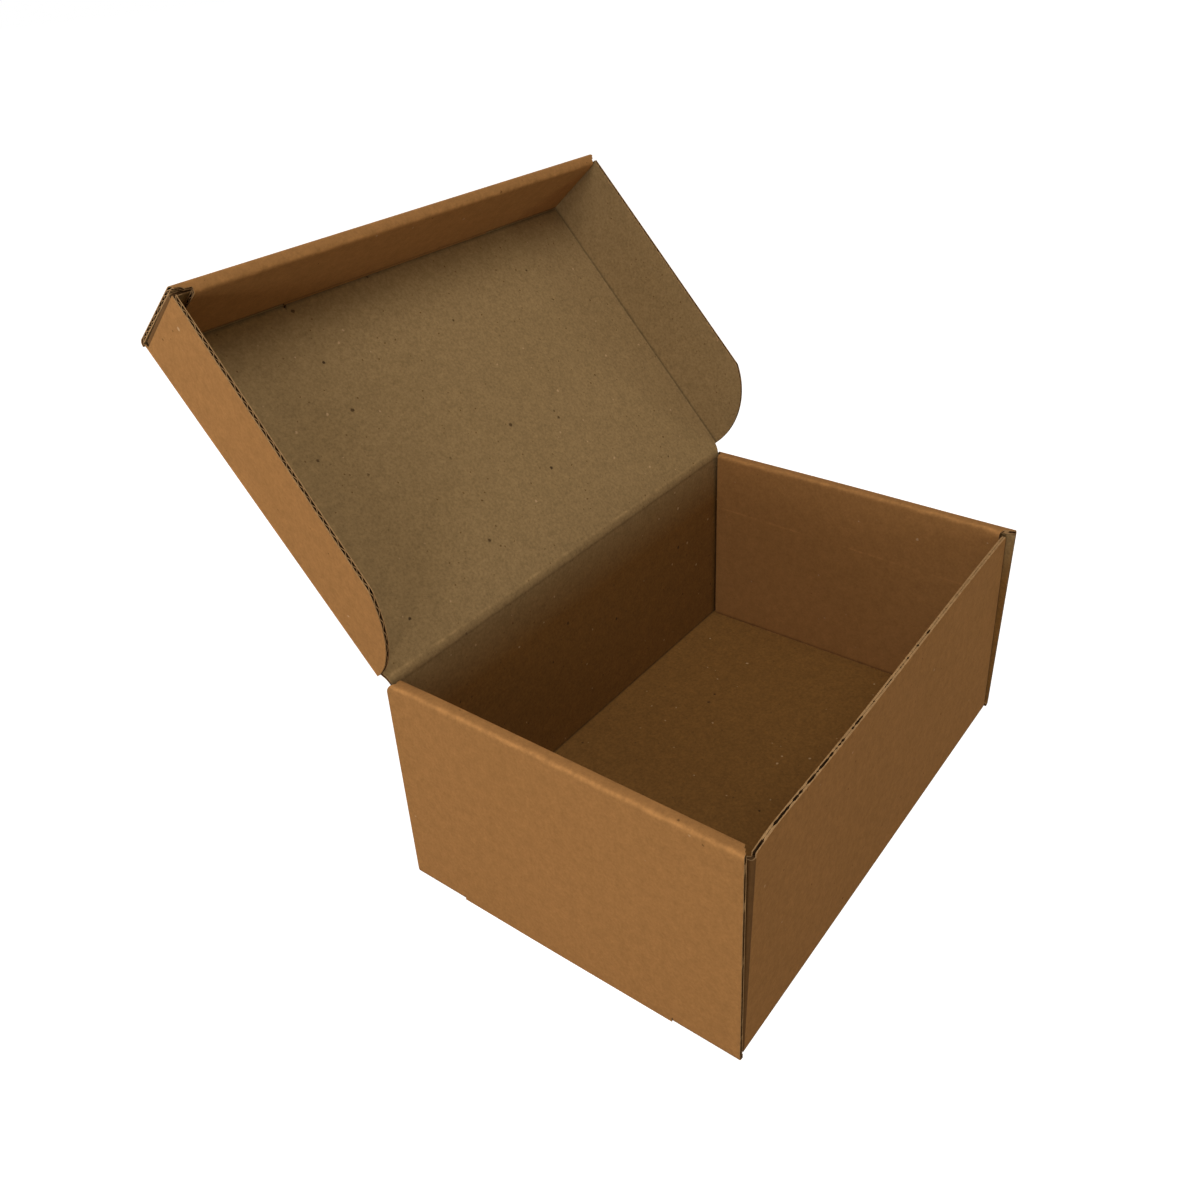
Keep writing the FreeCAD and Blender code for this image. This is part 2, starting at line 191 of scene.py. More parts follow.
# Hinge and lid, from the frame's joint
hinge = frame["joints"][0]
AXIS_Y, AXIS_Z = (value / MM for value in hinge["pos_m"][1:])
OPENING = math.radians(-hinge["range_deg"][0])
LID_AXIS_DEPTH = 0.4
STRIP_R = 7.0
STRIP_HALF_WIDTH = 97.9
STRIP_SPREAD = 1.6
STRIP_ROOT_Z = 77.0
LID_START = 4.9
LID_SIDE_GAP = 0.3
LID_FRONT_GAP = 0.35
LID_PINCH = {-1: 0.0025, 1: 0.0015}
LID_PINCH_REACH = 110
LID_DEPTH = 31.4
FLAP_DEPTH = 31.0
FLAP_LENGTH = FLAP_DEPTH - FOLD_INSIDE_R
FLAP_FOLD_LENGTH = FOLD_R * math.pi / 2
FLAP_START = LID_START + 0.1
LEAN_FRONT_DEG = {-1: 2.3, 1: 1.0}
LEAN_BACK_DEG = {-1: 9.0, 1: 3.0}
FLAP_END_R = 33.0
FLAP_RIM_FADE = 4.0
TAB_LENGTH = 32.0
TAB_TOP_GAP = 2.4
TAB_BOTTOM_GAP = 2.6
ROLL_INSET = {-1: 6.0, 1: 2.3}
ROLL_OUTER_INSET = 0.5
ROLL_SHOULDER_GAP = 0.9
LOCK_TAB_LENGTH = 104.0
LOCK_TAB_SHIFT = 3.3
LOCK_SLOT_GAP = 0.04
LOCK_SLOT_END_GAP = 0.35
NOTCH_LENGTH = 1.6
NOTCH_HALF_WIDTH = 0.9
NOTCH_REACH = 3.0
LID_OUT = HALF_W + LID_SIDE_GAP + BOARD
PANEL_X = LID_OUT - FOLD_OUT
V_IN = AXIS_Y + HALF_D + LID_FRONT_GAP
V_OUT = V_IN + ROLL
V_IN_MID = V_IN + HALF
V_OUT_MID = V_OUT - HALF
V_FLAP_END = V_OUT - 2 * BOARD - LAYER_GAP - FOLD_INSIDE_R

# Lines along the hinge strip: a worn light one by the lid and a dark line of painted shade by the back
# wall
LIGHT_LINE_PLACE = 1.2
LIGHT_LINE_WIDTH = 0.45
LIGHT_LINE_LEAST = 0.35
DARK_LINE_PLACE = -0.2
DARK_LINE_WIDTH = 0.5
DARK_LINE = 0.8
LINE_DRIFT = 0.25

OUTER_LINER, INNER_LINER, CUT_EDGE, WAVY_MEDIUM = range(4)


def unit(a, b):
    length = math.dist(a, b)
    return (b[0] - a[0]) / length, (b[1] - a[1]) / length


def ramp(low, high, value):
    share = min(1.0, max(0.0, (value - low) / (high - low)))
    return share * share * (3 - 2 * share)


def wander(place, rate, *seed):
    """Smooth noise along a line, that changes faster with a higher rate."""
    return noise.noise(Vector((place * rate, *seed)))


def bell(distance, width):
    return math.exp(-(distance / width) ** 2)


class Path:
    """Middle line of a folded board in a flat section: straight runs joined by round folds."""

    def __init__(self, *corners, radius=FOLD_R, sharpness=FOLD_SHARPNESS):
        self.sharpness = sharpness
        self.pieces = []
        self.length = 0.0
        last = corners[0]
        for before, corner, after in zip(corners, corners[1:], corners[2:]):
            d_in, d_out = unit(before, corner), unit(corner, after)
            turn = 1 if d_in[0] * d_out[1] - d_in[1] * d_out[0] > 0 else -1
            angle = math.acos(d_in[0] * d_out[0] + d_in[1] * d_out[1])
            back = radius * math.tan(angle / 2)
            start = (corner[0] - d_in[0] * back, corner[1] - d_in[1] * back)
            self.add_run(last, start)
            centre = (start[0] - d_in[1] * turn * radius, start[1] + d_in[0] * turn * radius)
            self.pieces.append(("fold", self.length, angle * radius, centre, start, turn))
            self.length += angle * radius
            last = (corner[0] + d_out[0] * back, corner[1] + d_out[1] * back)
        self.add_run(last, corners[-1])

    def add_run(self, a, b):
        length = math.dist(a, b)
        if length > STEP:
            self.pieces.append(("run", self.length, length, a, unit(a, b), 0))
            self.length += length

    def piece_at(self, s):
        return next((p for p in self.pieces if s <= p[1] + p[2]), self.pieces[-1])

    def crease(self, s, t, d):
        """A fold's outer liner is rubbed lighter, and its inner liner gets a dark line of painted shade.
        """
        margin = PAINTED_SHADE_MARGIN if d < 0 else 0.0
        for kind, start, length, *_, turn in self.pieces:
            if kind == "fold" and turn < 0 and start - margin < s < start + length + margin:
                middle = math.sin(math.pi * (s - start + margin) / (length + 2 * margin))
                return FOLD_WORN * middle ** 4 if d > 0 else FOLD_PAINTED_SHADE * middle ** 2
        return 0.0

    def point(self, s, d):
        """A point of the board. Creasing crushes the board, so its outer side is sharper at a fold."""
        (x, y), (nx, ny) = self.at(s)
        kind, start, length, a, b, turn = self.piece_at(s)
        if kind == "fold" and turn < 0 and s > start:
            radius = math.dist(a, b)
            angle = min(s - start, start + length - s) / radius
            d += self.sharpness * (radius + HALF) * (1 / math.cos(angle) - 1) * (d + HALF) / BOARD
        return x + nx * d, y + ny * d

    def at(self, s):
        """The point at a distance along the line, and the direction out through the outer liner."""
        kind, start, length, a, b, turn = self.piece_at(s)
        if kind == "run":
            along = s - start
            return (a[0] + b[0] * along, a[1] + b[1] * along), (-b[1], b[0])
        rx, ry = b[0] - a[0], b[1] - a[1]
        radius = math.hypot(rx, ry)
        angle = turn * (s - start) / radius
        c, k = math.cos(angle), math.sin(angle)
        qx, qy = rx * c - ry * k, rx * k + ry * c
        return (a[0] + qx, a[1] + qy), (-turn * qx / radius, -turn * qy / radius)

    def folds(self):
        return [(p[1], p[1] + p[2]) for p in self.pieces if p[0] == "fold"]

    def rows(self, step=ROW_STEP, fold_rows=FOLD_ROWS, extra=()):
        """Distances along the line for a mesh's rows, closer together round the folds."""
        found = {0.0, self.length, *extra}
        for kind, start, length, *_ in self.pieces:
            count = fold_rows if kind == "fold" else max(1, round(length / step))
            found.update(start + length * i / count for i in range(count + 1))
            if kind == "fold":
                for gap in (PAINTED_SHADE_MARGIN / 2, PAINTED_SHADE_MARGIN):
                    found.update((start - gap, start + length + gap))
        rows = sorted(s for s in found if 0 <= s <= self.length)
        return [rows[0]] + [b for a, b in zip(rows, rows[1:]) if b - a > STEP / 2]


def edge_shade(s, reach, shade=EDGE_SHADE):
    """The shade of a cut edge on the paper beside it."""
    return shade * max(0.0, 1 - s / reach)


def tucked_shade(s, fold):
    """The shade on a tucked flap, where it goes out of sight at its fold."""
    return FOLD_PAINTED_SHADE * bell(max(0.0, fold - s), TUCKED_SHADE_REACH)


def plain_rim(_):
    return CORE, PLAIN_RECESS


def fluted_rim(_):
    return CORE, FLUTE_RECESS


def torn_rim(seed, shut):
    """A cut edge along the flutes: a slit between the liners that shreds of torn medium close in places.

    shut says how much of the slit is closed, from 0 to 1, or gives that for a place on the edge.
    """
    def rim(e):
        closed = shut(e) if callable(shut) else shut
        cell, fine = wander(e, 0.34, seed, 0.3), wander(e, 1.7, seed, 7.1)
        low = TORN_LEVEL + TORN_LEVEL_RISE * closed
        opening = ramp(low, low + TORN_SOFTNESS, TORN_CELLS * cell + TORN_SHREDS * fine)
        gap = SLIT_LEAST + (CORE - SLIT_MARGIN) * opening * (1 - SLIT_NARROWING * closed)
        return gap, SLIT_RECESS + SLIT_DEPTH * opening
    return rim


class Board:
    """The points, faces and liners of one piece of folded board, in millimetres."""

    def __init__(self):
        self.points, self.creases, self.faces, self.papers = [], [], [], []

    def add(self, point, crease=0.0):
        self.points.append(point)
        self.creases.append(crease)
        return len(self.points) - 1

    def face(self, paper, *corners):
        self.faces.append(corners)
        self.papers.append(paper)

    def shell(self, at, rows, span, columns, rims=(plain_rim,) * 4, crease=lambda s, t, d: 0.0):
        """A stretch of board, closed all round. Its cut edges are set back between the liners.

        at(s, t, d) is a point: s along the section, t across it, d out through the outer liner.
        columns is their number, or their places across as shares of the width.
        rims are those of the first row, the last column, the last row and the first column.
        crease tells how much a fold has rubbed the paper lighter, and less than 0 is painted shade, a
        darker line.
        """
        first_row, last_column, last_row, first_column = rims
        if isinstance(columns, int):
            columns = [j / columns for j in range(columns + 1)]
        last_i, last_j = len(rows) - 1, len(columns) - 1
        grid = []
        for s in rows:
            low, high = span(s)
            grid.append([(s, low + (high - low) * share) for share in columns])
        outer, inner = ([[self.add(at(s, t, d), crease(s, t, d)) for s, t in row] for row in grid]
                        for d in (HALF, -HALF))
        for i in range(last_i):
            for j in range(last_j):
                for paper, sheet in ((OUTER_LINER, outer), (INNER_LINER, inner)):
                    self.face(paper, sheet[i][j], sheet[i + 1][j], sheet[i + 1][j + 1], sheet[i][j + 1])
        loop = [(0, j) for j in range(last_j)] + [(i, last_j) for i in range(last_i)]
        loop += [(last_i, j) for j in range(last_j, 0, -1)] + [(i, 0) for i in range(last_i, 0, -1)]
        rings = []
        for i, j in loop:
            s, t = grid[i][j]
            gaps, ds, dt = [], 0.0, 0.0
            for here, rim, e, way in ((i == 0, first_row, t, (1, 0)),
                                      (i == last_i, last_row, t, (-1, 0)),
                                      (j == 0, first_column, s, (0, 1)),
                                      (j == last_j, last_column, s, (0, -1))):
                if here:
                    gap, depth = rim(e)
                    gaps.append(gap)
                    ds += way[0] * depth
                    dt += way[1] * depth
            gap = min(gaps)
            rings.append([outer[i][j], self.add(at(s, t, gap)), self.add(at(s + ds, t + dt, gap)),
                          self.add(at(s + ds, t + dt, -gap)), self.add(at(s, t, -gap)), inner[i][j]])
        for k, ring in enumerate(rings):
            after = rings[(k + 1) % len(rings)]
            for layer in range(5):
                paper = CUT_EDGE if layer in (0, 4) else WAVY_MEDIUM
                self.face(paper, ring[layer], ring[layer + 1], after[layer + 1], after[layer])

    def medium(self, at, start, end, seed):
        """The wavy middle layer behind a cut edge. at(e, inward, d) is a point behind the edge."""
        count = max(2, round((end - start) / FLUTE_PITCH * WAVE_STEPS))
        swing = CORE - MEDIUM / 2
        rails = []
        for k in range(count + 1):
            e = start + (end - start) * k / count
            drift = WAVE_DRIFT * wander(e, 0.11, seed, 1.7)
            crush = 1 - WAVE_CRUSH * abs(wander(e, 0.35, seed, 4.2))
            middle = swing * crush * math.sin(2 * math.pi * (e / FLUTE_PITCH + drift) + seed)
            sink = WAVE_SINK + WAVE_RAGGED * abs(wander(e, 0.9, seed, 9.4))
            corners = ((1, sink), (1, FLUTE_RECESS), (-1, FLUTE_RECESS), (-1, sink))
            rails.append([self.add(at(e, inward, middle + side * MEDIUM / 2)) for side, inward in corners])
        for a, b in zip(rails, rails[1:]):
            for k in range(4):
                after = (k + 1) % 4
                self.face(CUT_EDGE if k == 3 else WAVY_MEDIUM, a[k], a[after], b[after], b[k])
        for rail in (rails[0], rails[-1]):
            self.face(WAVY_MEDIUM, *rail)

    def make(self, name, papers):
        """A mesh object in metres, with its faces turned outwards and its cut edges kept sharp."""
        mesh = bpy.data.meshes.new(name)
        mesh.from_pydata([[c * MM for c in p] for p in self.points], [], self.faces)
        for paper in papers:
            mesh.materials.append(paper)
        mesh.polygons.foreach_set("material_index", self.papers)
        # The crease attribute holds how much folds are rubbed light, and below 0 painted shade
        mesh.attributes.new("crease", "FLOAT", "POINT").data.foreach_set("value", self.creases)
        shape = bmesh.new()
        shape.from_mesh(mesh)
        bmesh.ops.recalc_face_normals(shape, faces=shape.faces)
        shape.to_mesh(mesh)
        shape.free()
        mesh.shade_smooth()
        mesh.set_sharp_from_angle(angle=math.radians(SHARP_EDGE_DEG))
        obj = bpy.data.objects.new(name, mesh)
        bpy.context.scene.collection.objects.link(obj)
        return obj


def side_place(x, y, z):
    """Small bends of the tray's rolled sides: they lean with height and their ends are drawn in."""
    rise = z / TRAY_H
    front, back = ramp(LEAN_FRONT_Y, -HALF_D, y), ramp(LEAN_BACK_Y, HALF_D, y)
    inner = ramp(SIDE_IN_X, HALF_W - ROLL + BOARD, abs(x))
    if x < 0:
        x += front * (LEFT_FOOT_IN - LEFT_FRONT_LEAN * rise) - LEFT_BACK_LEAN * back * rise
        y += (LEFT_FRONT_PULL * rise * ramp(PULL_FRONT_Y, -HALF_D, y)
              - LEFT_BACK_PULL * ramp(PULL_BACK_Y, HALF_D, y) * (1 - inner))
    else:
        x -= RIGHT_FRONT_LEAN * front * rise
        y += FRONT_PUSH * rise * ramp(SIDE_PUSH_Y, -WALL_IN_Y, y) * inner
    return Vector((x, y, z))


def front_place(x, y, z):
    """Small bends of the front wall: pushed in at its right, and drawn away from the left side's edge."""
    rise = z / FRONT_TOP
    near, fold = ramp(*FRONT_BEND_Y, y), ramp(*NEAR_FOLD_Y, y)
    left = ramp(FRONT_LEFT_X, -HALF_W, x)
    x += (NEAR_FOLD_SHIFT * fold * rise * left
          - FRONT_RIGHT_DRAW * near * rise * ramp(FRONT_RIGHT_X, HALF_W, x))
    y += near * (FRONT_PUSH * rise * ramp(*FRONT_PUSH_X, x) - FRONT_LEFT_OUT * rise * left)
    drop = near * NEAR_CORNER_DROP * rise * rise * ramp(NEAR_CORNER_X, -HALF_W, x)
    return Vector((x, y, z - drop))


def lid_place(u, v, w):
    """From the lid's own directions to the row frame: u along the hinge, v away from it, w inwards."""
    w -= LID_AXIS_DEPTH
    u *= 1 - LID_PINCH[-1 if u < 0 else 1] * (1 - ramp(0, LID_PINCH_REACH, v))
    return Vector((u, AXIS_Y - math.cos(OPENING) * v - math.sin(OPENING) * w,
                   AXIS_Z + math.sin(OPENING) * v - math.cos(OPENING) * w))


def columns_of(width, step=COLUMN_STEP):
    return max(2, round(width / step))


def floor_and_walls(board):
    """Back wall, floor and front wall in one run, with the front wall's raw top edge."""
    path = Path((WALL_MID_Y, STRIP_ROOT_Z), (WALL_MID_Y, HALF), (-WALL_MID_Y, HALF),
                (-WALL_MID_Y, FRONT_TOP))
    (_, floor_start), (floor_end, _) = path.folds()
    wall_x = TUCK_X - FOLD_R

    def at(s, t, d):
        y, z = path.point(s, d)
        near_top = ramp(path.length - TOP_RAGGED_REACH, path.length, s)
        return front_place(t, y, z + TOP_RAGGED * wander(t, 1.1, 4 * d, 5.0) * near_top)

    def span(s):
        half = SLOT_IN_X if floor_start < s < floor_end else wall_x
        return -half, half

    def shut(x):
        closed = TOP_SHUT_LEAST
        for low, high, more in (TOP_SHUT_MIDDLE, TOP_SHUT_RIGHT):
            closed += ramp(low, high, x) * more
        return closed

    rows = path.rows(WALL_ROW_STEP, extra=(floor_start + STEP, floor_end - STEP,
                                           path.length - 2.0, path.length - 1.0))
    board.shell(at, rows, span, columns_of(2 * wall_x, TOP_EDGE_COLUMN_STEP),
                (plain_rim, plain_rim, torn_rim(2.0, shut), plain_rim), path.crease)


def tuck_flaps(board):
    """The four flaps that turn in from the front and back walls, between the layers of the sides."""
    for side_y, top in ((-1, FRONT_TOP - TUCK_DROP), (1, STRIP_ROOT_Z)):
        path = Path((TUCK_X, TUCK_LENGTH - WALL_MID_Y), (TUCK_X, -WALL_MID_Y),
                    (TUCK_X - FOLD_R, -WALL_MID_Y))
        for side_x in (-1, 1):
            def at(s, t, d):
                x, y = path.point(s, d)
                return front_place(side_x * x, -side_y * y, t)

            board.shell(at, path.rows(), lambda s: (CORNER_RELIEF, top),
                        columns_of(TRAY_H, TUCK_COLUMN_STEP),
                        crease=lambda s, t, d: tucked_shade(s, TUCK_LENGTH))


def rolled_side(board, side):
    """Inner panel, flat band and outer panel of a side wall, with cut ends."""
    band_mid = TRAY_H - HALF
    path = Path((INNER_X, BOARD + SHOULDER_GAP), (INNER_X, band_mid), (OUTER_X, band_mid),
                (OUTER_X, FOLD_OUT))
    corner_r = (BACK_CORNER_LENGTH ** 2 + BACK_CORNER_DROP ** 2) / (2 * BACK_CORNER_DROP)
    inner_front = -WALL_IN_Y + INNER_FRONT_GAP
    inner_back = WALL_IN_Y - INNER_BACK_GAP
    (inner_end, band_start), (band_end, outer_start) = path.folds()
    scuff_row = SCUFF_Z - BOARD - SHOULDER_GAP

    def span(s):
        (x, z), (nx, nz) = path.at(s)
        share = min(1.0, max(0.0, (x + nx * HALF - HALF_W + ROLL) / ROLL))
        if s <= band_start:
            share = 0.0
        band_front = -HALF_D + BAND_INNER_CUT + (BAND_FRONT_CUT - BAND_INNER_CUT) * share
        front = inner_front + (band_front - inner_front) * ramp(inner_end, band_start, s)
        back = inner_back + (HALF_D - BACK_CORNER_LENGTH - inner_back) * share
        if s > band_end:
            drop = min(BACK_CORNER_DROP, TRAY_H - (z + nz * HALF))
            back = max(back, HALF_D - BACK_CORNER_LENGTH + math.sqrt(drop * (2 * corner_r - drop)))
            front = -HALF_D + BAND_FRONT_CUT * (1 - ramp(band_end, outer_start, s))
        return front, back

    def at(s, t, d):
        x, z = path.point(s, d)
        return side_place(side * x, t, z)

    # Worn light on the outer folds and a scuff, with painted shade inside the folds and beside a cut edge
    def crease(s, t, d):
        scuff = bell(s - scuff_row - SCUFF_TILT * t, SCUFF_WIDTH) if side > 0 else 0.0
        wear_and_shade = path.crease(s + 0.5 * wander(t, 0.12, side, 3.0), t, d) + edge_shade(s, 1.0)
        return wear_and_shade + SCUFF_WORN * scuff * ramp(-0.15, 0.2, wander(t, 0.05, 1.0, 2.0))

    close_rows = [outer_start + CORNER_ROW_STEP * i for i in range(CORNER_ROWS)]
    if side > 0:
        close_rows += [scuff_row + SCUFF_ROW_STEP * i for i in range(-6, 7)]
    rims = (plain_rim, torn_rim(3.0 + side, 0.1), plain_rim, torn_rim(5.0 + side, 0.1))
    board.shell(at, path.rows(ROLL_ROW_STEP, extra=close_rows), span,
                columns_of(2 * HALF_D, SIDE_COLUMN_STEP), rims, crease)


def side_foot(board, side):
    """Bottom fold of a side wall at both ends, and the straight foot and locking tab between them."""
    tab = SLOT_TAB_LENGTH / 2
    fold = Path((OUTER_X, FOLD_OUT), (OUTER_X, HALF), (SLOT_IN_X, HALF))
    lap_start = fold.folds()[0][1]

    def along(path):
        def at(s, t, d):
            x, z = path.point(s, d)
            return side_place(side * x, t, z)
        return at

    for end in (-1, 1):
        def span(s):
            reach = HALF_D if s <= lap_start else WALL_Y - FOLD_OUT
            return tuple(sorted((end * (tab + SLOT_END_GAP), end * reach)))

        board.shell(along(fold), fold.rows(extra=(lap_start + STEP,)), span, columns_of(HALF_D - tab))
    foot = Path((OUTER_X, FOLD_OUT), (OUTER_X, 0))
    lock = Path((INNER_X, 0), (INNER_X, BOARD + SHOULDER_GAP))
    for path in (foot, lock):
        board.shell(along(path), path.rows(FOOT_ROW_STEP), lambda s: (-tab, tab), columns_of(2 * tab))


def make_tray(papers):
    board = Board()
    floor_and_walls(board)
    tuck_flaps(board)
    for side in (-1, 1):
        rolled_side(board, side)
        side_foot(board, side)
    return board.make("tray_board", papers)


def lid_mid(v):
    point = lid_place(0, v, -HALF)
    return point.y, point.z


def make_hinge_crease(papers):
    """The soft bend between the back wall and the lid."""
    a, b = lid_mid(0), lid_mid(LID_START)
    share = (WALL_MID_Y - a[0]) / (b[0] - a[0])
    corner = (WALL_MID_Y, a[1] + (b[1] - a[1]) * share)
    path = Path(b, corner, (WALL_MID_Y, STRIP_ROOT_Z), radius=STRIP_R - HALF)
    board = Board()
    (bend_start, bend_end), = path.folds()

    def at(s, t, d):
        return Vector((t, *path.point(s, d)))

    # A worn light line by the lid, less a dark line of painted shade by the back wall
    def rubbed_line_and_painted_shade(s, t, d):
        patchy = ramp(-0.1, 0.3, wander(t, 0.09, 1.0, 6.0))
        wear_and_shade = LIGHT_LINE_LEAST + (1 - LIGHT_LINE_LEAST) * patchy
        drift = LINE_DRIFT * wander(t, 0.07, 4.0, 6.0)
        light = bell(s - bend_start - LIGHT_LINE_PLACE - drift, LIGHT_LINE_WIDTH)
        painted_shade = bell(s - bend_end - DARK_LINE_PLACE - drift, DARK_LINE_WIDTH)
        return wear_and_shade * light - DARK_LINE * painted_shade

    def span(s):
        half = STRIP_HALF_WIDTH + STRIP_SPREAD * max(0.0, 1 - s / bend_end)
        return -half, half

    board.shell(at, path.rows(STRIP_ROW_STEP, STRIP_BEND_ROWS), span, columns_of(2 * STRIP_HALF_WIDTH),
                crease=rubbed_line_and_painted_shade)
    crease = board.make("hinge_crease", papers)
    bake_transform(crease)
    return crease


def lock_tab_span():
    return LOCK_TAB_SHIFT - LOCK_TAB_LENGTH / 2, LOCK_TAB_SHIFT + LOCK_TAB_LENGTH / 2


def lid_panel(board):
    """The lid's panel as far as the slot that takes the rolled front's locking tab."""
    slot_near = V_IN - LOCK_SLOT_GAP
    slot_far = V_IN_MID + HALF + LOCK_SLOT_GAP
    tab_low, tab_high = lock_tab_span()
    notch_u = tab_low - LOCK_SLOT_END_GAP

    def panel_at(s, t, d):
        across, along = 1 - abs(t - notch_u) / NOTCH_HALF_WIDTH, 1 - s / NOTCH_REACH
        notch = NOTCH_LENGTH * max(0.0, across) * max(0.0, along)
        return lid_place(t, slot_near - s - notch * (HALF - d) / BOARD, -HALF - d)

    def bridge_at(s, t, d):
        return lid_place(t, slot_far - s, -HALF - d)

    def crease(s, t, d):
        return edge_shade(s, 1.5, PANEL_EDGE_SHADE)

    length = slot_near - LID_START
    rows = Path((0, 0), (length, 0)).rows(extra=(0.5, 1.0, 1.6))
    places = [-PANEL_X + 2 * PANEL_X * i / PANEL_COLUMNS for i in range(PANEL_COLUMNS + 1)]
    places += [notch_u + NOTCH_HALF_WIDTH * i / 2 for i in range(-2, 3)]
    board.shell(panel_at, rows, lambda s: (-PANEL_X, PANEL_X),
                [(u + PANEL_X) / (2 * PANEL_X) for u in sorted(places)], crease=crease)
    bridge = slot_far - slot_near
    for low, high in ((-PANEL_X, notch_u), (tab_high + LOCK_SLOT_END_GAP, PANEL_X)):
        board.shell(bridge_at, [0, bridge / 2, bridge], lambda s: (low, high), columns_of(high - low))
    return slot_far


def rolled_front(board, slot_far):
    """The lid's front rolled over itself: inner wall, band, outer wall and the fold to the panel."""
    low_mid = LID_DEPTH - HALF
    path = Path((V_IN_MID, ROLL_SHOULDER_GAP), (V_IN_MID, low_mid), (V_OUT_MID, low_mid),
                (V_OUT_MID, -HALF), (slot_far, -HALF), sharpness=0)
    (_, band_start), (band_end, outer_start), (outer_end, panel_start) = path.folds()

    def end_of(side, s):
        (v, _), (nv, _) = path.at(s)
        if s <= band_start:
            return LID_OUT - ROLL_INSET[side]
        if s <= band_end:
            share = (v + nv * HALF - V_IN) / ROLL
            return LID_OUT - ROLL_INSET[side] + (ROLL_INSET[side] - ROLL_OUTER_INSET) * share
        if s <= outer_end + STEP:
            return LID_OUT - ROLL_OUTER_INSET * (1 - ramp(band_end, outer_start, s))
        return LID_OUT if s < panel_start else PANEL_X

    def span(s):
        return -end_of(-1, s), end_of(1, s)

    def at(s, t, d):
        return lid_place(t, *path.point(s, d))

    # Worn light on the outer folds, with painted shade inside the folds and beside a cut edge
    def crease(s, t, d):
        return path.crease(s + 0.4 * wander(t, 0.1, 2.0, 8.0), t, d) + edge_shade(s, 1.3)

    def rim(s):
        return CORE, PLAIN_RECESS + (FLUTE_RECESS - PLAIN_RECESS) * (s < outer_end)

    rows = path.rows(LID_ROLL_ROW_STEP, extra=(panel_start - STEP, outer_end + STEP))
    board.shell(at, rows, span, columns_of(2 * LID_OUT), (torn_rim(8.0, 0.3), rim, plain_rim, rim), crease)
    for side in (-1, 1):
        def behind(e, inward, d):
            return at(e, side * (end_of(side, e) - inward), d)

        board.medium(behind, 0.1, outer_end, seed=2.0 + side)
    tab = Path((V_IN_MID, -BOARD), (V_IN_MID, ROLL_SHOULDER_GAP))

    def at_tab(s, t, d):
        return lid_place(t, *tab.point(s, d))

    board.shell(at_tab, tab.rows(FOOT_ROW_STEP), lambda s: lock_tab_span(), columns_of(LOCK_TAB_LENGTH))


def side_flap(board, side):
    """A lid side flap: it leans out more towards the hinge and ends in a wide arc."""
    centre_v = FLAP_START + FLAP_END_R
    corner_angle = math.asin(FLAP_DEPTH / FLAP_END_R)

    def lean(v):
        share = (V_FLAP_END - v) / (V_FLAP_END - LID_START)
        return math.radians(LEAN_FRONT_DEG[side] + (LEAN_BACK_DEG[side] - LEAN_FRONT_DEG[side]) * share)

    def at(s, t, d):
        turn = math.pi / 2 - lean(t)
        angle = turn * (1 - max(0.0, s - FLAP_LENGTH) / FLAP_FOLD_LENGTH)
        reach = max(0.0, FLAP_LENGTH - s)
        u = PANEL_X + (FOLD_R + d) * math.sin(angle) + reach * math.cos(turn)
        w = FOLD_INSIDE_R - (FOLD_R + d) * math.cos(angle) + reach * math.sin(turn)
        return lid_place(side * u, t, w)

    # Worn light on the fold's outer liner, and painted shade on its inner liner
    def crease(s, t, d):
        share = min(1.0, max(0.0, (s - FLAP_LENGTH + 1.0) / (FLAP_FOLD_LENGTH + 1.0)))
        return (FLAP_FOLD_WORN if d > 0 else FLAP_FOLD_PAINTED_SHADE) * math.sin(math.pi * share) ** 2

    def span(s):
        w = max(0.0, FLAP_DEPTH - s)
        arc_v = centre_v - math.sqrt(FLAP_END_R ** 2 - w ** 2)
        return arc_v, V_FLAP_END + (0.0 if s < FLAP_LENGTH else BOARD)

    def end_rim(s):
        fade = ramp(FLAP_LENGTH - FLAP_RIM_FADE, FLAP_LENGTH, s)
        return CORE, FLUTE_RECESS * (1 - fade) + PLAIN_RECESS

    def behind(e, inward, d):
        """A point behind the cut edge at a place along the hinge's way, first round the arc."""
        angle = math.acos(min(1.0, (centre_v - e) / FLAP_END_R)) if e < centre_v else math.pi
        if angle > corner_angle:
            return at(inward, e, d)
        return at(FLAP_DEPTH - FLAP_END_R * math.sin(angle) + inward * math.sin(angle),
                  e + inward * math.cos(angle), d)

    arc_angles = [corner_angle * i / ARC_ROWS for i in range(ARC_ROWS + 1)]
    arc_rows = [FLAP_DEPTH - FLAP_END_R * math.sin(angle) for angle in arc_angles]
    rows = [0.0, FLAP_LENGTH - 1.0, FLAP_LENGTH - 0.5]
    rows += [row for row in arc_rows if STEP < row < FLAP_LENGTH - STEP]
    rows = sorted(rows) + [FLAP_LENGTH + FLAP_FOLD_LENGTH * i / FOLD_ROWS for i in range(FOLD_ROWS + 1)]
    board.shell(at, rows, span, columns_of(V_FLAP_END),
                (fluted_rim, plain_rim, plain_rim, end_rim), crease)
    board.medium(behind, FLAP_START + 0.2, V_FLAP_END - 0.3, seed=5.0 + side)


def dust_tab(board, side):
    """The tab that turns in from a side flap and is held inside the rolled front."""
    x = LID_OUT - HALF
    v = V_OUT - BOARD - LAYER_GAP - HALF
    path = Path((x - TAB_LENGTH, v), (x, v), (x, V_FLAP_END))
    lean = math.sin(math.radians(LEAN_FRONT_DEG[side]))

    def at(s, t, d):
        u, v_here = path.point(s, d)
        out = lean * t * min(1.0, max(0.0, 1 - (x - u) / TAB_LENGTH))
        return lid_place(side * (u + out), v_here, t)

    board.shell(at, path.rows(), lambda s: (TAB_TOP_GAP, LID_DEPTH - TAB_BOTTOM_GAP), TAB_COLUMNS,
                crease=lambda s, t, d: tucked_shade(s, TAB_LENGTH))


def make_lid(papers):
    board = Board()
    rolled_front(board, lid_panel(board))
    for side in (-1, 1):
        side_flap(board, side)
        dust_tab(board, side)
    return board.make("lid_board", papers)


